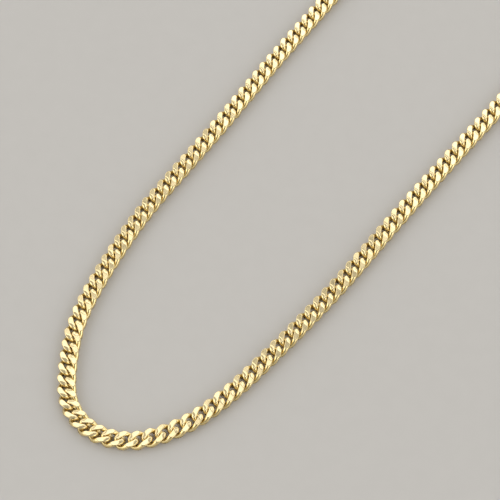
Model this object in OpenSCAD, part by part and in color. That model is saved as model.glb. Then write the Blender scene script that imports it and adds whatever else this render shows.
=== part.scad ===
// Curb chain necklace, lying on a table as one closed loop.
// Every measure is in millimetres. z = 0 is the table and +Z is up.
// +Y runs along the loop from its front bend towards the clasp.
// The origin is on the table under the middle of the loop.

/* [Necklace] */
// Length once round, clasp included
necklace_length = 450; // [445:5:480]

/* [Links] */
// Distance from one link to the next
pitch = 2.8; // [2.75:0.05:2.95]
// Thickness of the wire that a link is bent from
wire_d = 1.1; // [0.95:0.05:1.1]
// Width of a link across the chain
link_width = 3.95; // [3.9:0.05:4.05]
// Free play of one link in the next along the chain
link_play = 0.25; // [0.2:0.05:0.3]
// Twist of each end of a link out of the flat, in degrees
end_twist = 54; // [52:1:58]
// Thickness between the two filed faces
filed_thickness = 1.56; // [1.48:0.04:1.8]

/* [Clasp] */
// Length of the plain bar without its eyes
bar_length = 12; // [10:0.5:14]
// Width of the bar
bar_width = 4.4; // [4:0.1:5]
// Height of the bar at its crown
bar_height = 2.1; // [1.9:0.1:2.5]
// Height of the bar's upright edge
bar_edge = 1.2; // [0.9:0.1:1.4]
// Outer width of an eye at the bar's end
eye_width = 3.5; // [3.4:0.1:3.6]
// Thickness of an eye's ring
eye_wire = 0.9; // [0.8:0.05:0.95]

/* [Hidden] */
$fn = 64;
gold = [0.85, 0.71, 0.42];

// Round points of the loop, in order from the clasp down the left side,
// round the front bend and back up the right side.
route = [
    [-2.5, 146.5],
    [-14, 144.5],
    [-22.5, 137.5],
    [-27, 125],
    [-28, 106],
    [-27.5, 82],
    [-27, 64],
    [-26.5, 45],
    [-25.5, 25],
    [-25, 9.5],
    [-24.5, -4.5],
    [-22.5, -19],
    [-19.5, -32],
    [-15.5, -41],
    [-8, -51],
    [0.5, -54],
    [9, -51],
    [15, -42.5],
    [18, -32],
    [19.5, -19],
    [20.5, -5.5],
    [21, 9.5],
    [21, 25],
    [21.5, 46],
    [22, 62],
    [22.5, 85],
    [22.5, 103],
    [22, 123],
    [18, 137.5],
    [9.5, 144.5]
];

// Steps that a curve takes from one round point to the next
curve_steps = 16;
// A link is a ring of straight lengths, and its wire has flat sides
ring_sides = 10;
wire_sides = 5;
// The corners stand out from the round link, so that the flats between them keep its size
long_reach = 1.03;
side_reach = 1.1;
wire_reach = 1.12;
// How square the oval of a link is before it is twisted: 2 is an ellipse
squareness = 2.8;
// Lean of that oval: shift along the chain for each millimetre across it
lean = 0.06;
// How deep an eye's ring is sunk into the bar's end
eye_bite = 0.2;

link_length = pitch + 2 * wire_d + link_play;
half_long = (link_length - wire_d) / 2 * long_reach;
half_wide = (link_width - wire_d) / 2 * side_reach;
corner_r = wire_d / 2 * wire_reach;
mid_height = filed_thickness / 2;

eye_r = (eye_width - eye_wire) / 2;
eye_reach = bar_length / 2 + eye_r - eye_bite;
first_link = eye_reach + eye_r - wire_d - link_play + (link_length - wire_d) / 2;
crown_drop = bar_height - bar_edge;
crown_r = (pow(bar_width / 2, 2) + pow(crown_drop, 2)) / (2 * crown_drop);

// The loop
function wrapped(list, i) = list[(i + len(list)) % len(list)];

function blend(a, b, c, d, t) =
    (2 * b + (c - a) * t + (2 * a - 5 * b + 4 * c - d) * t * t
    + (3 * b - a - 3 * c + d) * t * t * t) / 2;

function round_trip(path) =
    [for (i = 0, run = 0;
          i <= len(path);
          run = run + norm(wrapped(path, i + 1) - wrapped(path, i)), i = i + 1) run];

drawn_path = [
    for (i = [0 : len(route) - 1])
    for (j = [0 : curve_steps - 1])
    blend(wrapped(route, i - 1), route[i], wrapped(route, i + 1), wrapped(route, i + 2),
          j / curve_steps)
];
drawn_length = round_trip(drawn_path)[len(drawn_path)];

drawn_x = [for (p = drawn_path) p[0]];
drawn_y = [for (p = drawn_path) p[1]];
middle = [(min(drawn_x) + max(drawn_x)) / 2, (min(drawn_y) + max(drawn_y)) / 2];
path = [for (p = drawn_path) (p - middle) * necklace_length / drawn_length];

distance = round_trip(path);
x_table = [for (i = [0 : len(path)]) [distance[i], wrapped(path, i)[0]]];
y_table = [for (i = [0 : len(path)]) [distance[i], wrapped(path, i)[1]]];

// Place on the loop at a distance s from the clasp's middle
function at(s) =
    let (t = s < 0 ? s + necklace_length : s)
    [lookup(t, x_table), lookup(t, y_table)];

function heading(from, to) = atan2(to[1] - from[1], to[0] - from[0]);

// The links
chain_run = necklace_length - 2 * first_link;
link_count = floor(chain_run / pitch) + 1;
left_count = ceil(link_count / 2);
step = chain_run / (link_count - 1);

function bent(v, power) = sign(v) * pow(abs(v), power);

function ring_point(turn) =
    let (
        x = half_long * bent(cos(turn), 2 / squareness),
        y = half_wide * bent(sin(turn), 2 / squareness),
        twist = -end_twist * x / half_long
    )
    [x + lean * y, y * cos(twist), y * sin(twist)];

ring = [for (i = [0 : ring_sides - 1]) ring_point(360 * i / ring_sides)];

function unit(v) = v / norm(v);

function filed(p) = [p[0], p[1], max(-mid_height, min(mid_height, p[2]))];

// Corners of the wire at one point of the ring, cut back to the filed faces
function wire_corners(i) =
    let (
        along = unit(wrapped(ring, i + 1) - wrapped(ring, i - 1)),
        out = unit(ring[i]),
        outward = unit(out - along * (out * along)),
        aside = cross(along, outward)
    )
    [for (k = [0 : wire_sides - 1])
        let (turn = 360 * (k + 0.5) / wire_sides)
        filed(ring[i] + corner_r * (cos(turn) * outward + sin(turn) * aside))];

link_corners = [for (i = [0 : ring_sides - 1]) each wire_corners(i)];

function turned(p, angle) =
    [p[0] * cos(angle) - p[1] * sin(angle), p[0] * sin(angle) + p[1] * cos(angle), p[2]];

function placed_corners(s) =
    let (
        spot = at(s),
        angle = heading(at(s - pitch / 2), at(s + pitch / 2))
    )
    [for (p = link_corners) turned(p, angle) + [spot[0], spot[1], mid_height]];

function link_faces(first) =
    [for (i = [0 : ring_sides - 1])
     for (k = [0 : wire_sides - 1])
        let (
            here = first + i * wire_sides,
            next = first + ((i + 1) % ring_sides) * wire_sides,
            up = (k + 1) % wire_sides
        )
        each [[here + k, next + k, next + up], [here + k, next + up, here + up]]];

module links(first, count) {
    corners = len(link_corners);
    polyhedron(
        points = [for (n = [0 : count - 1]) each placed_corners(first_link + (first + n) * step)],
        faces = [for (n = [0 : count - 1]) each link_faces(n * corners)]
    );
}

module chain_left() {
    color(gold)
        links(0, left_count);
}

module chain_right() {
    color(gold)
        links(left_count, link_count - left_count);
}

// The clasp
module bar() {
    intersection() {
        linear_extrude(height = bar_height)
            union() {
                square([bar_length - bar_width, bar_width], center = true);
                for (side = [-1, 1])
                    translate([side * (bar_length - bar_width) / 2, 0])
                        circle(d = bar_width);
            }
        translate([0, 0, bar_height - crown_r])
            rotate([0, 90, 0])
                cylinder(r = crown_r, h = bar_length + 2, center = true);
    }
}

module eye(side) {
    translate([side * eye_reach, 0, mid_height])
        rotate([-side * end_twist, 0, 0])
            rotate_extrude()
                translate([eye_r, 0])
                    circle(d = eye_wire);
}

module filed_eyes() {
    intersection() {
        union() {
            eye(-1);
            eye(1);
        }
        translate([0, 0, mid_height])
            cube([2 * bar_length + 4 * eye_width, 2 * eye_width, filed_thickness], center = true);
    }
}

module clasp() {
    left_end = at(-eye_reach);
    right_end = at(eye_reach);
    spot = (left_end + right_end) / 2;
    color(gold)
        translate([spot[0], spot[1], 0])
            rotate([0, 0, heading(left_end, right_end)])
                union() {
                    bar();
                    filed_eyes();
                }
}

chain_left();
chain_right();
clasp();
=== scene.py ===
"""Curb chain necklace in yellow gold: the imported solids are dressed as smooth, filed and polished metal."""

import sys
import logging
import math
from collections.abc import Iterable
from dataclasses import dataclass
from enum import Enum
from typing import Union

import bmesh
import bpy
import numpy as np
from mathutils import Matrix, Vector


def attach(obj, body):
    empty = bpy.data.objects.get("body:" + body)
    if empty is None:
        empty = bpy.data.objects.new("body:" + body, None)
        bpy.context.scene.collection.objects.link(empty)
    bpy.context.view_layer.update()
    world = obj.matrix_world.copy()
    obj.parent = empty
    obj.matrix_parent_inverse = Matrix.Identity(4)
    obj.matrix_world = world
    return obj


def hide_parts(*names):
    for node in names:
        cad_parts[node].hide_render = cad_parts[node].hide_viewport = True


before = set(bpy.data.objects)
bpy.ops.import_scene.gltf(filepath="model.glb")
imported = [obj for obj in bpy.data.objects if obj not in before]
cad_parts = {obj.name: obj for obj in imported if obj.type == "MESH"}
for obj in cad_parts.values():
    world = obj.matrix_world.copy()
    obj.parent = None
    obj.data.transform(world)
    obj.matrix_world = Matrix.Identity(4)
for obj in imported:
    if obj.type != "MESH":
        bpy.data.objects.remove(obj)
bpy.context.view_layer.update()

# One millimetre in metres
MM = 0.001
# Corners this near to a cut lie on it, in millimetres
ON_CUT = 1e-5
# Packed corners this near to each other are one, in metres
SAME_SPOT = 1e-6
# The number of the facet that a corner off the facets is given
OFF_FACETS = -1
# The middle of a cloudy pattern's numbers
CLOUD_MIDDLE = 0.5

log = logging.getLogger("necklace")

Triple = tuple[float, float, float]
Faces = list[tuple[int, ...]]
Feed = Union[bpy.types.NodeSocket, float, tuple[float, ...]]


class Face(Enum):
    """The two faces of the chain that are filed flat."""

    UPPER = 1
    LOWER = -1


class Layer(Enum):
    """What is noted on the corners of wire while it is filed."""

    POLISH = "polish"
    FACET = "facet"


class Mark(Enum):
    """The sets of numbers on the finished metal that its finish reads."""

    OWN = "own"
    TONE = "tone"
    # Painted shade on the corners, which darkens the gold where shade falls.
    PAINTED_SHADE = "painted_shade"
    FILED = "filed"


@dataclass(frozen=True)
class Rise:
    """A smooth way from 0 at one number to 1 at another, which may be the lower one."""

    start: float
    end: float

    def at(self, value: np.ndarray) -> np.ndarray:
        """How far numbers are on the way.

        Args:
            value: The numbers.

        Returns:
            Numbers from 0 to 1.
        """
        t = np.clip((value - self.start) / (self.end - self.start), 0.0, 1.0)
        return t * t * (3.0 - 2.0 * t)


def unit_rows(vectors: np.ndarray) -> np.ndarray:
    """Scale each row to length one.

    Args:
        vectors: Rows of three numbers.

    Returns:
        The same rows, each of length one.
    """
    return vectors / np.maximum(np.linalg.norm(vectors, axis=-1, keepdims=True), 1e-12)


def full_turn(count: int) -> np.ndarray:
    """Angles that divide a full turn evenly, from zero."""
    return np.linspace(0, 2 * np.pi, count, endpoint=False)


def way_to(azimuth: float, elevation: float) -> Triple:
    """Direction from the necklace to a place round it.

    Args:
        azimuth: Degrees round from the front, towards +X.
        elevation: Degrees above the table.

    Returns:
        The direction, of length one.
    """
    level, high = math.radians(azimuth), math.radians(elevation)
    return math.sin(level) * math.cos(high), -math.cos(level) * math.cos(high), math.sin(high)


def stand(right: Vector, up: Vector, back: Vector, spot: Vector) -> Matrix:
    """Place of a camera or a light.

    Args:
        right: Its own +X.
        up: Its own +Y.
        back: Its own +Z, away from what it looks at.
        spot: Where it stands, in metres.

    Returns:
        The placing matrix.
    """
    placing = Matrix((right, up, back)).transposed().to_4x4()
    placing.translation = spot
    return placing


def show(name: str, data: bpy.types.ID) -> bpy.types.Object:
    """Put an object into the scene.

    Args:
        name: Its name.
        data: Its mesh, lens or lamp.

    Returns:
        The object.
    """
    shown = bpy.data.objects.new(name, data)
    bpy.context.scene.collection.objects.link(shown)
    return shown


@dataclass
class Metalwork:
    """A stretch of metal as plain arrays, in millimetres, ready to be repeated and joined."""

    corners: np.ndarray
    faces: Faces
    normals: np.ndarray
    filed: np.ndarray
    # Painted shade: how much each corner is darkened where shade falls, from 0 to 1.
    painted_shade: np.ndarray
    facet: np.ndarray

    def refiled(self, draw: np.random.Generator, slope: float) -> "Metalwork":
        """Tilt each filed facet by a little of its own, as a file held by hand does.

        Args:
            draw: Source of the tilts.
            slope: Usual tilt, in radians.

        Returns:
            The copy with its facets tilted.
        """
        corners, normals = self.corners.copy(), self.normals.copy()
        for n in range(int(self.facet.max()) + 1):
            here = self.facet == n
            lean = np.clip(draw.normal(0.0, slope, 2), -2 * slope, 2 * slope)
            offset = corners[here, :2] - corners[here, :2].mean(axis=0)
            corners[here, 2] += offset @ lean
            up = np.sign(corners[here, 2])[:, None]
            normals[here] = unit_rows(normals[here] - up * self.filed[here, None] * np.array([*lean, 0.0]))
        return Metalwork(corners, self.faces, normals, self.filed, self.painted_shade, self.facet)

    def placed(self, spin: np.ndarray, spot: np.ndarray) -> "Metalwork":
        """Turn and move a copy.

        Args:
            spin: Three by three turning matrix.
            spot: Where the origin goes, in millimetres.

        Returns:
            The copy in its place.
        """
        corners = self.corners @ spin.T + spot
        return Metalwork(corners, self.faces, self.normals @ spin.T, self.filed, self.painted_shade, self.facet)


@dataclass(frozen=True)
class ShadeMask:
    """Where the wire of a ring is painted darker as shade: on wire that faces down, and low on the inner side
    of the ring.
    """

    facing_in: Rise = Rise(0.0, -0.9)
    facing_down: Rise = Rise(0.25, -0.6)
    low_down: Rise = Rise(0.3, -0.3)
    off_the_top: Rise = Rise(0.55, 0.05)
    underside: Rise = Rise(-0.5, -0.7)
    outer_share: float = 0.6

    def painted_shade(self, points: np.ndarray, normals: np.ndarray) -> np.ndarray:
        """How much painted shade each corner gets: 1 under the wire inside a ring, 0 on top and on the filed
        underside.

        Args:
            points: Corners of the wire.
            normals: Directions straight out of the wire.

        Returns:
            Numbers from 0 to 1.
        """
        outward = unit_rows(points * np.array([1.0, 1.0, 0.0]))
        inside = self.facing_in.at((normals * outward).sum(axis=1))
        # Painted shade: wire low on the inner side of the ring and wire facing down are darkened.
        walled = inside * self.low_down.at(points[:, 2]) * self.off_the_top.at(normals[:, 2])
        under = self.facing_down.at(normals[:, 2]) * (self.outer_share + (1.0 - self.outer_share) * inside)
        return np.maximum(under, walled) * (1.0 - self.underside.at(points[:, 2]))


def closed_ring(grid: np.ndarray) -> bmesh.types.BMesh:
    """Join the corners of a closed ring of round wire.

    Args:
        grid: Corners of the wire, one row of them for each point of its centre line.

    Returns:
        The ring, with its corners noted as round wire.
    """
    rows, sides, _ = grid.shape
    shape = bmesh.new()
    shape.verts.layers.float.new(Layer.POLISH.value)
    shape.verts.layers.int.new(Layer.FACET.value)
    corners = [shape.verts.new(spot) for spot in grid.reshape(-1, 3)]
    for i in range(rows):
        here, after = i * sides, ((i + 1) % rows) * sides
        for k in range(sides):
            up = (k + 1) % sides
            shape.faces.new([corners[n] for n in (here + k, after + k, after + up, here + up)])
    note(shape, corners, 0.0, OFF_FACETS)
    return shape


def note(shape: bmesh.types.BMesh, corners: Iterable[bmesh.types.BMVert], polish: float, facet: int) -> None:
    """Note how far some corners are filed, and on which facet they lie.

    Args:
        shape: The wire, changed in place.
        corners: The corners.
        polish: 0 on round wire, 1 on a facet.
        facet: Number of the facet, or OFF_FACETS.
    """
    level, number = shape.verts.layers.float[Layer.POLISH.value], shape.verts.layers.int[Layer.FACET.value]
    for corner in corners:
        corner[level] = polish
        corner[number] = facet


def round_normals(points: np.ndarray, centres: np.ndarray) -> np.ndarray:
    """Directions straight out of round wire.

    Args:
        points: Corners of the wire.
        centres: Many points of its centre line.

    Returns:
        One direction for each corner.
    """
    apart = np.linalg.norm(points[:, None, :] - centres[None, :, :], axis=2)
    return unit_rows(points - centres[apart.argmin(axis=1)])


@dataclass
class FiledWire:
    """Files round wire flat on both faces, rounds the rims of the facets and wears off their ends.

    A rim step is the width of a band, how far under the facet it ends, and its share of the filed polish.
    The worn steps are shares of the worn length, and the worn rows are places beside a facet's middle.
    """

    half_thickness: float
    rim_drop: float = 0.1
    rim_polish: float = 0.2
    rim_steps: tuple[Triple, ...] = ((0.045, 0.04, 0.5), (0.1, 0.0, 1.0))
    shortest_edge: float = 0.03
    worn_length: float = 0.0
    worn_drop: float = 0.15
    worn_polish: float = 0.3
    worn_from: float = 0.25
    worn_aside: Rise = Rise(0.1, 0.6)
    worn_steps: tuple[float, ...] = (1.0, 0.84, 0.68, 0.54, 0.4, 0.28, 0.16, 0.06)
    worn_rows: tuple[float, ...] = (-0.24, 0.0, 0.24)
    shade_mask: ShadeMask = ShadeMask()

    def cut(self, grid: np.ndarray, centres: np.ndarray) -> Metalwork:
        """File a closed ring of round wire flat above and below.

        Args:
            grid: Corners of the wire, one row of them for each point of its centre line.
            centres: Many points of the centre line, for the normals.

        Returns:
            The filed ring.
        """
        shape = closed_ring(grid)
        made, end = 0, 0.0
        for face in Face:
            for patch in self.file_flat(shape, face):
                self.round_rim(shape, patch, face, made)
                if self.worn_length > 0:
                    toward = -face.value * math.copysign(1.0, patch.calc_center_median().y)
                    end = max(toward * corner.co.x for corner in patch.verts)
                    note(shape, self.divide_end(shape, patch, toward, end), 1.0, made)
                made += 1
        shape.verts.index_update()
        layers = shape.verts.layers
        level, number = layers.float[Layer.POLISH.value], layers.int[Layer.FACET.value]
        points = np.array([corner.co for corner in shape.verts])
        filed = np.array([corner[level] for corner in shape.verts])
        facet = np.array([corner[number] for corner in shape.verts])
        faces = [tuple(corner.index for corner in side.verts) for side in shape.faces]
        shape.free()
        wire = round_normals(points, centres)
        # Painted shade on the wire: darker where it faces down and low on the inside of the ring.
        painted_shade = self.shade_mask.painted_shade(points, wire)
        flat = np.sign(points[:, 2:]) * np.array([0.0, 0.0, 1.0])
        if self.worn_length > 0:
            points, filed, flat = self.wear_off(points, filed, flat, end)
        normals = unit_rows(wire * (1.0 - filed[:, None]) + flat * filed[:, None])
        return Metalwork(points, faces, normals, filed, painted_shade, facet)

    def file_flat(self, shape: bmesh.types.BMesh, face: Face) -> list[bmesh.types.BMFace]:
        """Cut one face flat, down to where the rims end, and close the cuts.

        Args:
            shape: The wire, changed in place.
            face: Which face is filed.

        Returns:
            The closing faces.
        """
        everything = shape.verts[:] + shape.edges[:] + shape.faces[:]
        height = self.half_thickness - self.rim_drop
        done = bmesh.ops.bisect_plane(
            shape, geom=everything, dist=ON_CUT, plane_co=(0, 0, face.value * height),
            plane_no=(0, 0, face.value), clear_outer=True,
        )
        rim = [part for part in done["geom_cut"] if isinstance(part, bmesh.types.BMEdge)]
        short = [edge for edge in rim if edge.calc_length() < self.shortest_edge]
        if short:
            bmesh.ops.collapse(shape, edges=short)
        shape.normal_update()
        rim = [edge for edge in shape.edges if edge.is_boundary]
        patches = bmesh.ops.holes_fill(shape, edges=rim, sides=0)["faces"]
        for patch in patches:
            patch.normal_update()
            if patch.normal.z * face.value < 0:
                patch.normal_flip()
        return patches

    def round_rim(self, shape: bmesh.types.BMesh, patch: bmesh.types.BMFace, face: Face, made: int) -> None:
        """Raise a closing face step by step to the filed height, so that a round rim is left.

        Args:
            shape: The wire, changed in place.
            patch: The closing face, which becomes the facet.
            face: Which face is filed.
            made: Number of the facet.
        """
        note(shape, patch.verts, self.rim_polish, OFF_FACETS)
        for width, drop, polish in self.rim_steps:
            bmesh.ops.inset_individual(shape, faces=[patch], thickness=width, use_even_offset=True)
            for corner in patch.verts:
                corner.co.z = face.value * (self.half_thickness - drop)
            note(shape, patch.verts, polish, made)

    def divide_end(
        self, shape: bmesh.types.BMesh, patch: bmesh.types.BMFace, toward: float, end: float,
    ) -> set[bmesh.types.BMVert]:
        """Divide the end of a facet across and along, so that it can be rounded off.

        Args:
            shape: The wire, changed in place.
            patch: The facet.
            toward: 1 where the facet ends towards +X, -1 where it ends towards -X.
            end: How far it reaches that way.

        Returns:
            The facet's corners.
        """
        strips = {patch}
        middle = patch.calc_center_median().y
        cuts = [((toward * (end - self.worn_length * step), 0.0, 0.0), (1, 0, 0)) for step in self.worn_steps]
        cuts += [((0.0, middle + aside, 0.0), (0, 1, 0)) for aside in self.worn_rows]
        for spot, facing in cuts:
            edges = {edge for strip in strips for edge in strip.edges}
            corners = {corner for strip in strips for corner in strip.verts}
            done = bmesh.ops.bisect_plane(
                shape, geom=[*strips, *edges, *corners], dist=ON_CUT, plane_co=spot, plane_no=facing,
            )
            strips = {part for part in done["geom"] if isinstance(part, bmesh.types.BMFace)}
        return {corner for strip in strips for corner in strip.verts}

    def wear_off(
        self, points: np.ndarray, filed: np.ndarray, flat: np.ndarray, end: float,
    ) -> tuple[np.ndarray, np.ndarray, np.ndarray]:
        """Round off the end of each facet, where it goes under the next link.

        Args:
            points: Corners of the wire.
            filed: How far each corner is filed.
            flat: Facing of the facets.
            end: How far a facet reaches along the link.

        Returns:
            The corners, how far they are filed and the facing of the facets, all with the wear.
        """
        points, flat = points.copy(), flat.copy()
        toward = -np.sign(points[:, 2]) * np.sign(points[:, 1])
        past = np.clip((toward * points[:, 0] - end) / self.worn_length + 1.0, 0.0, 1.0)
        past *= self.worn_aside.at(np.abs(points[:, 1]))
        height = (np.abs(points[:, 2]) - self.worn_from) / (self.half_thickness - self.worn_from)
        points[:, 2] -= np.sign(points[:, 2]) * self.worn_drop * past**2 * np.clip(height, 0.0, 1.0)
        flat[:, 0] = toward * 2 * self.worn_drop * past / self.worn_length
        return points, filed * (1.0 - (1.0 - self.worn_polish) * past**2), unit_rows(flat)


@dataclass
class CurbLink:
    """One link: an oval of round wire, twisted, pressed wider under its faces and filed flat on both."""

    pitch: float = 2.8
    wire_d: float = 1.04
    width: float = 3.96
    play: float = 0.26
    end_twist: float = 48.0
    hold: float = 0.5
    filed_thickness: float = 1.6
    squareness: float = 2.5
    lean: float = 0.1
    spread: float = 0.12
    spread_rise: Rise = Rise(0.2, 0.9)
    worn_length: float = 1.05
    rows: int = 48
    sides: int = 16
    points_a_row: int = 20
    steps_a_point: int = 16

    @property
    def half_long(self) -> float:
        """Half the length of the wire's centre line."""
        return (self.pitch + self.wire_d + self.play) / 2

    @property
    def half_wide(self) -> float:
        """Half the width of the wire's centre line, before the twist."""
        return (self.width - self.wire_d) / 2

    def centre_line(self, count: int) -> np.ndarray:
        """Points of the wire's centre line, evenly spaced.

        Args:
            count: How many points.

        Returns:
            The points, in millimetres from the link's middle.
        """
        turn = np.linspace(0, 2 * np.pi, count * self.steps_a_point + 1)
        power = 2 / self.squareness
        share = np.sign(np.cos(turn)) * np.abs(np.cos(turn)) ** power
        y = self.half_wide * np.sign(np.sin(turn)) * np.abs(np.sin(turn)) ** power
        x = self.half_long * share + self.lean * y
        around = np.append(0, np.cumsum(np.hypot(np.diff(x), np.diff(y))))
        even = np.linspace(0, around[-1], count, endpoint=False)
        x, y, share = (np.interp(even, around, row) for row in (x, y, share))
        held = (1 - self.hold) * share + self.hold * np.sin(np.pi / 2 * share)
        twist = -math.radians(self.end_twist) * held
        return np.stack([x, y * np.cos(twist), y * np.sin(twist)], axis=1)

    def build(self) -> Metalwork:
        """Sweep the wire round the centre line and file it.

        Returns:
            The link about its own middle.
        """
        fine = self.centre_line(self.rows * self.points_a_row)
        centre = fine[::self.points_a_row]
        along = unit_rows(np.roll(fine, -1, 0) - np.roll(fine, 1, 0))[::self.points_a_row]
        outward = unit_rows(centre)
        outward = unit_rows(outward - along * (outward * along).sum(axis=1, keepdims=True))
        aside = np.cross(along, outward)
        turn = full_turn(self.sides)[None, :, None]
        out = self.wire_d / 2 * (np.cos(turn) * outward[:, None] + np.sin(turn) * aside[:, None])
        height = np.abs(centre[:, None, 2:] + out[..., 2:]) / self.filed_thickness * 2
        out[..., :2] *= 1.0 + self.spread * self.spread_rise.at(height)
        filing = FiledWire(self.filed_thickness / 2, worn_length=self.worn_length)
        return filing.cut((centre[:, None] + out)[:, ::-1], fine)


@dataclass
class Welder:
    """Joins stretches of metal into one piece with the marks that its finish reads, and dresses it."""

    name: str
    slot: str
    seed: int
    finish: bpy.types.Material

    def join(self, parts: list[Metalwork], own: list[np.ndarray]) -> bpy.types.Object:
        """Make one object of many stretches.

        Args:
            parts: The stretches in their places, in millimetres.
            own: For each stretch, its corners about its own middle.

        Returns:
            The object, riding on the root body.
        """
        draw = np.random.default_rng(self.seed)
        faces: Faces = []
        first = 0
        for part in parts:
            faces += [tuple(n + first for n in face) for face in part.faces]
            first += len(part.corners)
        mesh = bpy.data.meshes.new(self.name)
        mesh.from_pydata(np.concatenate([part.corners for part in parts]) * MM, [], faces)
        mesh.polygons.foreach_set("use_smooth", np.ones(len(faces), bool))
        self.mark(mesh, Mark.OWN, own)
        self.mark(mesh, Mark.TONE, [np.full(len(part.corners), draw.random()) for part in parts])
        # Writes the painted shade that the gold finish mixes in.
        self.mark(mesh, Mark.PAINTED_SHADE, [part.painted_shade for part in parts])
        self.mark(mesh, Mark.FILED, [part.filed for part in parts])
        mesh.normals_split_custom_set_from_vertices(np.concatenate([part.normals for part in parts]))
        mesh.materials.append(self.finish)
        piece = show(self.name, mesh)
        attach(piece, "root")
        return piece

    def mark(self, mesh: bpy.types.Mesh, mark: Mark, values: list[np.ndarray]) -> None:
        """Write one set of numbers on the mesh's corners.

        Args:
            mesh: The mesh.
            mark: Which set it is.
            values: The numbers of each stretch, in order.
        """
        kind, field = ("FLOAT_VECTOR", "vector") if mark is Mark.OWN else ("FLOAT", "value")
        numbers = np.concatenate(values).astype(np.float32).ravel()
        mesh.attributes.new(mark.value, kind, "POINT").data.foreach_set(field, numbers)


@dataclass
class ChainHalf:
    """Half of the chain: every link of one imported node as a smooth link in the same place."""

    node: str
    name: str
    link: CurbLink
    seed: int
    rock: float = 0.5
    most_rock: float = 1.4
    nod_share: float = 0.5
    file_slope: float = 0.009
    tip_depth: float = 0.12
    slot: str = "gold_links"

    def packed_links(self) -> list[np.ndarray]:
        """Part the node's solids into single links.

        Returns:
            The corners of each link, in millimetres.
        """
        shape = bmesh.new()
        shape.from_mesh(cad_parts[self.node].data)
        bmesh.ops.remove_doubles(shape, verts=shape.verts, dist=SAME_SPOT)
        found, seen = [], set()
        for start in shape.verts:
            if start in seen:
                continue
            island, waiting = [], [start]
            seen.add(start)
            while waiting:
                corner = waiting.pop()
                island.append(corner.co / MM)
                for edge in corner.link_edges:
                    other = edge.other_vert(corner)
                    if other not in seen:
                        seen.add(other)
                        waiting.append(other)
            found.append(np.array(island))
        shape.free()
        return found

    def place(self, points: np.ndarray) -> tuple[np.ndarray, float]:
        """Read where a packed link lies.

        Args:
            points: Its corners, in millimetres.

        Returns:
            Its middle in millimetres and its heading in radians.
        """
        middle = points.mean(axis=0)
        _, axes = np.linalg.eigh(np.cov((points - middle)[:, :2].T))
        along = (points - middle)[:, :2] @ axes[:, 1]
        tips = [points[way > way.max() - self.tip_depth, :2].mean(axis=0) for way in (-along, along)]
        reach = tips[1] - tips[0]
        return middle, math.atan2(reach[1], reach[0])

    def build(self, finish: bpy.types.Material) -> bpy.types.Object:
        """Set a smooth link in each place, each rocked a little as loose links are.

        Args:
            finish: What the links are dressed in.

        Returns:
            The joined half of the chain.
        """
        draw = np.random.default_rng(self.seed)
        link = self.link.build()
        parts = []
        for middle, heading in map(self.place, self.packed_links()):
            roll, nod = np.radians(np.clip(draw.normal(0.0, self.rock, 2), -self.most_rock, self.most_rock))
            turned, rolled = Matrix.Rotation(heading, 3, "Z"), Matrix.Rotation(roll, 3, "X")
            spin = turned @ Matrix.Rotation(nod * self.nod_share, 3, "Y") @ rolled
            part = link.refiled(draw, self.file_slope).placed(np.array(spin), middle)
            part.corners[:, 2] -= part.corners[:, 2].min()
            parts.append(part)
        welder = Welder(self.name, self.slot, self.seed + 1, finish)
        piece = welder.join(parts, [link.corners] * len(parts))
        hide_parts(self.node)
        return piece


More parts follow.
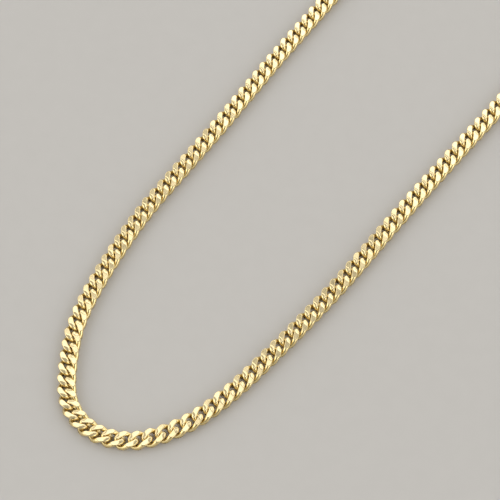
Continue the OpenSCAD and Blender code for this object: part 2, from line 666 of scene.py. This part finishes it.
@dataclass
class BarClasp:
    """The clasp: one low domed bar with a filed eye at each end."""

    node: str = "clasp"
    name: str = "clasp_bar"
    slot: str = "gold_clasp"
    seed: int = 41
    end_depth: float = 0.6
    bar_length: float = 12.0
    bar_width: float = 4.4
    bar_height: float = 2.1
    bar_edge: float = 1.2
    edge_round: float = 0.22
    edge_rings: int = 6
    floor_cap: float = 0.02
    floor_ring: float = 0.5
    dome_rings: tuple[float, ...] = (0.86, 0.76, 0.64, 0.52, 0.4, 0.28, 0.16, 0.01)
    around: int = 72
    # Painted shade at the foot of the bar, and the heights over which it fades out.
    polish: float = 0.6
    most_painted_shade: float = 0.25
    painted_shade_rise: Rise = Rise(0.5, 0.0)
    eye_width: float = 3.5
    eye_wire: float = 0.9
    eye_bite: float = 0.2
    eye_rows: int = 40
    eye_sides: int = 16
    eye_points_a_row: int = 20
    end_twist: float = 54.0
    filed_thickness: float = 1.56

    @property
    def eye_radius(self) -> float:
        """Radius of the centre line of an eye's wire."""
        return (self.eye_width - self.eye_wire) / 2

    def place(self) -> tuple[np.ndarray, float]:
        """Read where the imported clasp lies.

        Returns:
            Its middle on the table in millimetres and its heading in radians.
        """
        points = np.array([corner.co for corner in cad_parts[self.node].data.vertices]) / MM
        low, high = points.min(axis=0), points.max(axis=0)
        left = points[points[:, 0] < low[0] + self.end_depth].mean(axis=0)
        right = points[points[:, 0] > high[0] - self.end_depth].mean(axis=0)
        middle = (low + high) / 2
        return np.array([middle[0], middle[1], 0.0]), math.atan2(right[1] - left[1], right[0] - left[0])

    def profile(self) -> list[tuple[float, float, Face]]:
        """Rings of the bar, from the middle of its underside to the middle of its dome.

        Returns:
            For each ring how far out it lies, how far it is set back, and on which face it is.
        """
        radius, soft = self.bar_width / 2, self.edge_round
        bend = np.linspace(0, np.pi / 2, self.edge_rings)
        rings = [(reach, 0.0, Face.LOWER) for reach in (self.floor_cap, radius * self.floor_ring)]
        rings += [(radius - soft * (1 - math.sin(b)), soft * (1 - math.cos(b)), Face.LOWER) for b in bend]
        rings += [(radius - soft * (1 - math.cos(b)), soft * (1 - math.sin(b)), Face.UPPER) for b in bend]
        rings += [(radius * share, 0.0, Face.UPPER) for share in self.dome_rings]
        return rings

    def bar(self) -> Metalwork:
        """Make the domed bar from rings that follow its round-ended outline.

        Returns:
            The bar, with its underside at height zero.
        """
        radius, spine = self.bar_width / 2, (self.bar_length - self.bar_width) / 2
        drop = self.bar_height - self.bar_edge
        crown = (radius**2 + drop**2) / (2 * drop)
        turn = full_turn(self.around) + np.pi / self.around
        side = np.sign(np.cos(turn)) * spine
        rings = []
        for reach, inset, face in self.profile():
            x, y = side + reach * np.cos(turn), reach * np.sin(turn)
            top = self.bar_height - crown + np.sqrt(crown**2 - y**2) - inset
            rings.append(np.stack([x, y, top if face is Face.UPPER else np.full_like(x, inset)], axis=1))
        points, faces = np.concatenate(rings), self.bar_faces(len(rings))
        # Painted shade: the bar is darkened towards its underside, where it meets the table.
        painted_shade = self.most_painted_shade * self.painted_shade_rise.at(points[:, 2])
        filed, facet = np.full(len(points), self.polish), np.full(len(points), OFF_FACETS)
        return Metalwork(points, faces, self.smooth_normals(points, faces), filed, painted_shade, facet)

    def bar_faces(self, count: int) -> Faces:
        """Join the bar's rings, and close the first and the last one.

        Args:
            count: How many rings there are.

        Returns:
            The faces.
        """
        sides = self.around
        faces: Faces = [tuple(range(sides))[::-1], tuple(range((count - 1) * sides, count * sides))]
        for i in range(count - 1):
            here, after = i * sides, (i + 1) * sides
            for k in range(sides):
                up = (k + 1) % sides
                faces.append((here + k, here + up, after + up, after + k))
        return faces

    def smooth_normals(self, points: np.ndarray, faces: Faces) -> np.ndarray:
        """Average the facing of the faces round each corner.

        Args:
            points: The corners.
            faces: The faces.

        Returns:
            One direction for each corner.
        """
        total = np.zeros_like(points)
        for face in faces:
            outline = points[list(face)]
            total[list(face)] += np.cross(outline, np.roll(outline, -1, 0)).sum(axis=0)
        return unit_rows(total)

    def eye_line(self, spin: np.ndarray, count: int) -> np.ndarray:
        """Points of the centre line of an eye's wire.

        Args:
            spin: The eye's tilt, as a three by three turning matrix.
            count: How many points.

        Returns:
            The points, in millimetres from the eye's middle.
        """
        turn, radius = full_turn(count), self.eye_radius
        return np.stack([radius * np.cos(turn), radius * np.sin(turn), 0 * turn], axis=1) @ spin.T

    def eye(self, side: int) -> Metalwork:
        """Make one eye: a ring of wire turned as a link's end is, and filed with the chain.

        Args:
            side: 1 for the right end, -1 for the left one.

        Returns:
            The eye in its place on the bar.
        """
        spin = np.array(Matrix.Rotation(-side * math.radians(self.end_twist), 3, "X"))
        centre = self.eye_line(spin, self.eye_rows)
        outward, level = unit_rows(centre)[:, None], (spin @ np.array([0.0, 0.0, 1.0]))[None, None]
        turn = full_turn(self.eye_sides)[None, :, None]
        grid = centre[:, None] + self.eye_wire / 2 * (np.cos(turn) * outward + np.sin(turn) * level)
        fine = self.eye_line(spin, self.eye_rows * self.eye_points_a_row)
        made = FiledWire(self.filed_thickness / 2).cut(grid, fine)
        reach = side * (self.bar_length / 2 + self.eye_radius - self.eye_bite)
        return made.placed(np.eye(3), np.array([reach, 0.0, self.filed_thickness / 2]))

    def build(self, finish: bpy.types.Material) -> bpy.types.Object:
        """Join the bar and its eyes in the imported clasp's place.

        Args:
            finish: What the clasp is dressed in.

        Returns:
            The clasp.
        """
        spot, heading = self.place()
        spin = np.array(Matrix.Rotation(heading, 3, "Z"))
        parts = [self.bar(), self.eye(-1), self.eye(1)]
        welder = Welder(self.name, self.slot, self.seed, finish)
        piece = welder.join([part.placed(spin, spot) for part in parts], [part.corners for part in parts])
        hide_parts(self.node)
        return piece


@dataclass(frozen=True)
class Span:
    """A range of numbers, and the range that it is mapped on."""

    low: float
    high: float
    to_low: float = 0.0
    to_high: float = 1.0


@dataclass(frozen=True)
class Grain:
    """A cloudy pattern: how fine it is, and how many finer layers it has."""

    scale: float
    detail: float


@dataclass(frozen=True)
class Relief:
    """A slight unevenness: how much of it shows, and how high it is in metres."""

    strength: float
    height: float


@dataclass
class NodeBench:
    """Short ways to set up and join shader nodes."""

    tree: bpy.types.NodeTree

    def join(self, value: Feed, socket: bpy.types.NodeSocket) -> None:
        """Feed a socket from another socket, or set it.

        Args:
            value: A socket, a number or a few numbers.
            socket: Where it goes.
        """
        if isinstance(value, bpy.types.NodeSocket):
            self.tree.links.new(value, socket)
        elif isinstance(value, tuple) and socket.type == "RGBA":
            socket.default_value = (*value, 1.0)
        else:
            socket.default_value = value

    def mark(self, mark: Mark) -> bpy.types.NodeSocket:
        """Read one set of the numbers that a Welder wrote.

        Args:
            mark: Which set it is.

        Returns:
            The numbers.
        """
        node = self.tree.nodes.new("ShaderNodeAttribute")
        node.attribute_name = mark.value
        return node.outputs["Vector" if mark is Mark.OWN else "Fac"]

    def vector(
        self, operation: str, first: Feed, second: Feed | None = None, scale: Feed | None = None,
        output: str = "Vector",
    ) -> bpy.types.NodeSocket:
        """Work on directions or places.

        Args:
            operation: The vector operation.
            first: First socket or numbers.
            second: Second socket or numbers, where there is one.
            scale: Factor for scaling, where there is one.
            output: Which outcome is wanted.

        Returns:
            The outcome.
        """
        node = self.tree.nodes.new("ShaderNodeVectorMath")
        node.operation = operation
        for value, socket in ((first, 0), (second, 1), (scale, "Scale")):
            if value is not None:
                self.join(value, node.inputs[socket])
        return node.outputs[output]

    def maths(self, operation: str, first: Feed, second: Feed) -> bpy.types.NodeSocket:
        """Work on two numbers.

        Args:
            operation: The operation.
            first: First socket or number.
            second: Second socket or number.

        Returns:
            The outcome.
        """
        node = self.tree.nodes.new("ShaderNodeMath")
        node.operation = operation
        self.join(first, node.inputs[0])
        self.join(second, node.inputs[1])
        return node.outputs["Value"]

    def span(self, value: Feed, span: Span) -> bpy.types.NodeSocket:
        """Map one range of numbers on another, and stop at its ends.

        Args:
            value: The number.
            span: The two ranges.

        Returns:
            The mapped number.
        """
        node = self.tree.nodes.new("ShaderNodeMapRange")
        names = ("Value", "From Min", "From Max", "To Min", "To Max")
        for name, number in zip(names, (value, span.low, span.high, span.to_low, span.to_high)):
            self.join(number, node.inputs[name])
        return node.outputs["Result"]

    def blend(self, share: Feed, first: Feed, second: Feed) -> bpy.types.NodeSocket:
        """Mix two colours, by the sockets that a Mix node keeps for colours.

        Args:
            share: How much of the second colour.
            first: First colour.
            second: Second colour.

        Returns:
            The mixed colour.
        """
        node = self.tree.nodes.new("ShaderNodeMix")
        node.data_type = "RGBA"
        self.join(share, node.inputs["Factor"])
        self.join(first, node.inputs[6])
        self.join(second, node.inputs[7])
        return node.outputs[2]

    def noise(self, place: Feed, grain: Grain) -> bpy.types.NodeSocket:
        """Cloudy numbers round one half.

        Args:
            place: Where they are read.
            grain: What the pattern is like.

        Returns:
            The number.
        """
        node = self.tree.nodes.new("ShaderNodeTexNoise")
        self.join(place, node.inputs["Vector"])
        node.inputs["Scale"].default_value = grain.scale
        node.inputs["Detail"].default_value = grain.detail
        return node.outputs["Fac"]

    def bump(self, height: Feed, normal: Feed | None, relief: Relief) -> bpy.types.NodeSocket:
        """Raise and lower the surface a little.

        Args:
            height: Where it is high and low.
            normal: The direction that it starts from, or None for the mesh's own.
            relief: How much of it there is.

        Returns:
            The new direction.
        """
        node = self.tree.nodes.new("ShaderNodeBump")
        node.inputs["Strength"].default_value = relief.strength
        node.inputs["Distance"].default_value = relief.height
        self.join(height, node.inputs["Height"])
        if normal is not None:
            self.join(normal, node.inputs["Normal"])
        return node.outputs["Normal"]


def new_material(name: str) -> tuple[bpy.types.Material, NodeBench, bpy.types.Node]:
    """Start a material.

    Args:
        name: Its name.

    Returns:
        The material, the bench for its nodes and its shader.
    """
    material = bpy.data.materials.new(name)
    material.use_nodes = True
    return material, NodeBench(material.node_tree), material.node_tree.nodes["Principled BSDF"]


@dataclass(frozen=True)
class GoldFinish:
    """Yellow gold: polished round wire, paler filed faces that are partly painted highlight, and dark brown
    painted shade in the hollows and under the wire.
    """

    name: str = "yellow_gold"
    wire: Triple = (0.94, 0.755, 0.36)
    # Paler colour of the filed faces, partly painted highlight: it stands in for the whitened shine the key
    # lights give them.
    cut: Triple = (0.955, 0.795, 0.46)
    pale: Triple = (0.97, 0.81, 0.45)
    # Dark brown painted shade for the hollows and the underside of the wire.
    painted_shade_colour: Triple = (0.15, 0.07, 0.015)
    wire_roughness: float = 0.26
    cut_roughness: float = 0.14
    shade_roughness: float = 0.25
    apart: Triple = (13.0, 29.0, 7.0)
    clouds: Grain = Grain(1.6, 3.0)
    specks: Grain = Grain(9.0, 2.0)
    strokes: Grain = Grain(1.0, 2.0)
    stroke_scale: Triple = (2.2, 26.0, 9.0)
    cloud_pale: Span = Span(0.35, 0.75, 0.0, 0.3)
    speck_shade: Span = Span(0.3, 0.7, 0.7, 1.15)
    seen_shade: Span = Span(0.25, 0.95, 0.0, 0.82)
    cloud_roughness: Span = Span(0.3, 0.7, -0.02, 0.03)
    filed_waves: Span = Span(0.0, 1.0, 1.0, 0.08)
    wave_relief: Relief = Relief(0.35, 0.00003)
    stroke_relief: Relief = Relief(0.12, 0.000004)
    speck_relief: Relief = Relief(0.05, 0.000004)

    def build(self) -> bpy.types.Material:
        """Make the material.

        Returns:
            The material, which reads the marks that a Welder writes.
        """
        material, bench, shader = new_material(self.name)
        shader.inputs["Metallic"].default_value = 1.0
        filed = bench.mark(Mark.FILED)
        moved = bench.vector("SCALE", self.apart, scale=bench.mark(Mark.TONE))
        spot = bench.vector("ADD", bench.mark(Mark.OWN), moved)
        cloud, speck = bench.noise(spot, self.clouds), bench.noise(spot, self.specks)

        # Painted shade: dark brown is mixed in where the corners are marked as shaded, mottled by specks.
        shade_share = bench.maths("MULTIPLY", bench.mark(Mark.PAINTED_SHADE), bench.span(speck, self.speck_shade))
        shade_share = bench.span(shade_share, self.seen_shade)
        # Filed corners take the paler colour, which is partly painted highlight.
        metal = bench.blend(filed, self.wire, self.cut)
        metal = bench.blend(bench.span(cloud, self.cloud_pale), metal, self.pale)
        bench.join(bench.blend(shade_share, metal, self.painted_shade_colour), shader.inputs["Base Color"])

        rough = bench.span(filed, Span(0.0, 1.0, self.wire_roughness, self.cut_roughness))
        rough = bench.maths("ADD", rough, bench.span(cloud, self.cloud_roughness))
        # Roughness is raised where the shade is painted.
        rough = bench.maths("ADD", rough, bench.maths("MULTIPLY", shade_share, self.shade_roughness))
        bench.join(rough, shader.inputs["Roughness"])

        stroke = bench.noise(bench.vector("MULTIPLY", spot, self.stroke_scale), self.strokes)
        wave = bench.maths("SUBTRACT", cloud, CLOUD_MIDDLE)
        wave = bench.maths("MULTIPLY", wave, bench.span(filed, self.filed_waves))
        uneven = bench.bump(wave, None, self.wave_relief)
        uneven = bench.bump(bench.maths("MULTIPLY", stroke, filed), uneven, self.stroke_relief)
        bench.join(bench.bump(speck, uneven, self.speck_relief), shader.inputs["Normal"])
        return material


@dataclass(frozen=True)
class TableFinish:
    """The plain pale surface that the necklace lies on."""

    name: str = "pale_table"
    colour: Triple = (0.62, 0.605, 0.58)
    darker: float = 0.985
    grain: Grain = Grain(260.0, 2.0)
    seen_grain: Span = Span(0.3, 0.7)
    roughness: float = 0.75
    shine: float = 0.25

    def build(self) -> bpy.types.Material:
        """Make the material.

        Returns:
            A matt pale material.
        """
        material, bench, shader = new_material(self.name)
        place = material.node_tree.nodes.new("ShaderNodeNewGeometry").outputs["Position"]
        share = bench.span(bench.noise(place, self.grain), self.seen_grain)
        shade = bench.blend(share, self.colour, tuple(self.darker * part for part in self.colour))
        bench.join(shade, shader.inputs["Base Color"])
        shader.inputs["Roughness"].default_value = self.roughness
        shader.inputs["Specular IOR Level"].default_value = self.shine
        return material


@dataclass
class PhotoCamera:
    """The camera as it stood for the photograph, in the necklace's own frame."""

    name: str = "photo_camera"
    target: tuple[float, float] = (2.517, -45.543)
    azimuth: float = 40.0
    elevation: float = 54.72
    roll: float = 4.048
    distance: float = 504.47
    lens_in_pixels: float = 2369.5
    picture: int = 500
    sensor: float = 36.0
    nearest: float = 0.01
    farthest: float = 20.0

    def build(self) -> bpy.types.Object:
        """Set up the camera.

        Returns:
            The camera, which the scene then uses.
        """
        level, roll = math.radians(self.azimuth), math.radians(self.roll)
        look = -Vector(way_to(self.azimuth, self.elevation))
        right = Vector((math.cos(level), math.sin(level), 0.0))
        up = right.cross(look)
        rolled_right = right * math.cos(roll) - up * math.sin(roll)
        rolled_up = up * math.cos(roll) + right * math.sin(roll)
        lens = bpy.data.cameras.new(self.name)
        lens.sensor_width = self.sensor
        lens.lens = self.lens_in_pixels / self.picture * self.sensor
        lens.clip_start, lens.clip_end = self.nearest, self.farthest
        camera = show(self.name, lens)
        spot = Vector((*self.target, 0.0)) * MM - look * self.distance * MM
        camera.matrix_world = stand(rolled_right, rolled_up, -look, spot)
        bpy.context.scene.camera = camera
        return camera


@dataclass(frozen=True)
class SoftBox:
    """One soft studio light, aimed at the necklace, with its length from left to right."""

    name: str
    azimuth: float
    elevation: float
    width: float
    length: float
    brightness: float
    distance: float = 1.3
    colour: Triple = (1.0, 0.98, 0.95)

    def build(self, aim: Vector) -> bpy.types.Object:
        """Hang the light.

        Args:
            aim: What it is aimed at, in metres.

        Returns:
            The light.
        """
        back = Vector(way_to(self.azimuth, self.elevation))
        along = Vector((1.0, 0.0, 0.0))
        along = (along - back * along.dot(back)).normalized()
        lamp = bpy.data.lights.new(self.name, "AREA")
        lamp.shape = "RECTANGLE"
        lamp.size, lamp.size_y, lamp.color = self.width, self.length, self.colour
        lamp.energy = self.brightness * math.pi * self.width * self.length
        light = show(self.name, lamp)
        light.matrix_world = stand(along.cross(back), along, back, aim + back * self.distance)
        return light


@dataclass(frozen=True)
class TentPatch:
    """A brighter or darker area of the light tent, with soft edges, in degrees."""

    azimuth: float
    elevation: float
    inner: float
    outer: float
    change: float


@dataclass
class Studio:
    """The pale table, the light tent round the necklace and two key lights behind it, with a gap between."""

    table: str = "table_top"
    table_size: float = 6.0
    table_drop: float = 0.00005
    aim: Triple = (0.0027, -0.046, 0.0)
    key_lights: tuple[SoftBox, ...] = (
        SoftBox("far_key_light", 212.4, 47.4, 0.28, 0.42, 1.4),
        SoftBox("near_key_light", 228.4, 60.7, 0.16, 0.42, 1.4),
    )
    tent: str = "light_tent"
    tent_colour: Triple = (1.0, 0.985, 0.96)
    top_light: float = 0.44
    side_light: float = 0.95
    least_light: float = 0.05
    side_angles: tuple[float, float] = (36.0, 56.0)
    patches: tuple[TentPatch, ...] = (
        TentPatch(85.0, 32.0, 10.0, 30.0, 1.2),
        TentPatch(310.0, 32.0, 10.0, 32.0, 1.2),
        TentPatch(175.0, 20.0, 10.0, 32.0, 0.4),
        TentPatch(265.0, 14.0, 10.0, 28.0, 0.4),
        TentPatch(35.0, 30.0, 16.0, 36.0, -0.8),
        TentPatch(220.3, 55.3, 4.0, 9.0, -0.12),
    )

    def build(self) -> None:
        """Set up everything round the necklace."""
        self.lay_table()
        for light in self.key_lights:
            light.build(Vector(self.aim))
        self.light_tent()
        bpy.context.scene.view_settings.view_transform = "Standard"

    def lay_table(self) -> None:
        """Lay the table top just under the necklace."""
        mesh = bpy.data.meshes.new(self.table)
        half = self.table_size / 2
        corners = [(x * half, y * half, 0.0) for x, y in ((-1, -1), (1, -1), (1, 1), (-1, 1))]
        mesh.from_pydata(corners, [], [(0, 1, 2, 3)])
        mesh.materials.append(TableFinish().build())
        table = show(self.table, mesh)
        table.location.z = -self.table_drop

    def light_tent(self) -> None:
        """Light the tent: dimmer overhead, bright at the sides and dark where the camera looks in."""
        tent = bpy.data.worlds.new(self.tent)
        bpy.context.scene.world = tent
        tent.use_nodes = True
        bench = NodeBench(tent.node_tree)
        place = tent.node_tree.nodes.new("ShaderNodeTexCoord").outputs["Generated"]
        side, top = (math.sin(math.radians(angle)) for angle in self.side_angles)
        height = bench.vector("DOT_PRODUCT", place, (0.0, 0.0, 1.0), output="Value")
        light = bench.span(height, Span(side, top, self.side_light, self.top_light))
        for patch in self.patches:
            near = bench.vector("DOT_PRODUCT", place, way_to(patch.azimuth, patch.elevation), output="Value")
            inner, outer = (math.cos(math.radians(angle)) for angle in (patch.inner, patch.outer))
            light = bench.maths("ADD", light, bench.span(near, Span(outer, inner, 0.0, patch.change)))
        background = tent.node_tree.nodes["Background"]
        bench.join(self.tent_colour, background.inputs["Color"])
        bench.join(bench.maths("MAXIMUM", light, self.least_light), background.inputs["Strength"])


def main() -> None:
    """Build the pieces in order, dress them and set up the studio."""
    logging.basicConfig(level=logging.INFO, format="%(name)s: %(message)s", stream=sys.stdout)
    gold = GoldFinish().build()
    link = CurbLink()
    makers = (
        ChainHalf("chain_left", "links_left", link, seed=11),
        ChainHalf("chain_right", "links_right", link, seed=23),
        BarClasp(),
    )
    for maker in makers:
        piece = maker.build(gold)
        log.info("%s stands for %s: %d faces", piece.name, maker.node, len(piece.data.polygons))
    PhotoCamera().build()
    Studio().build()


if __name__ == "__main__":
    main()
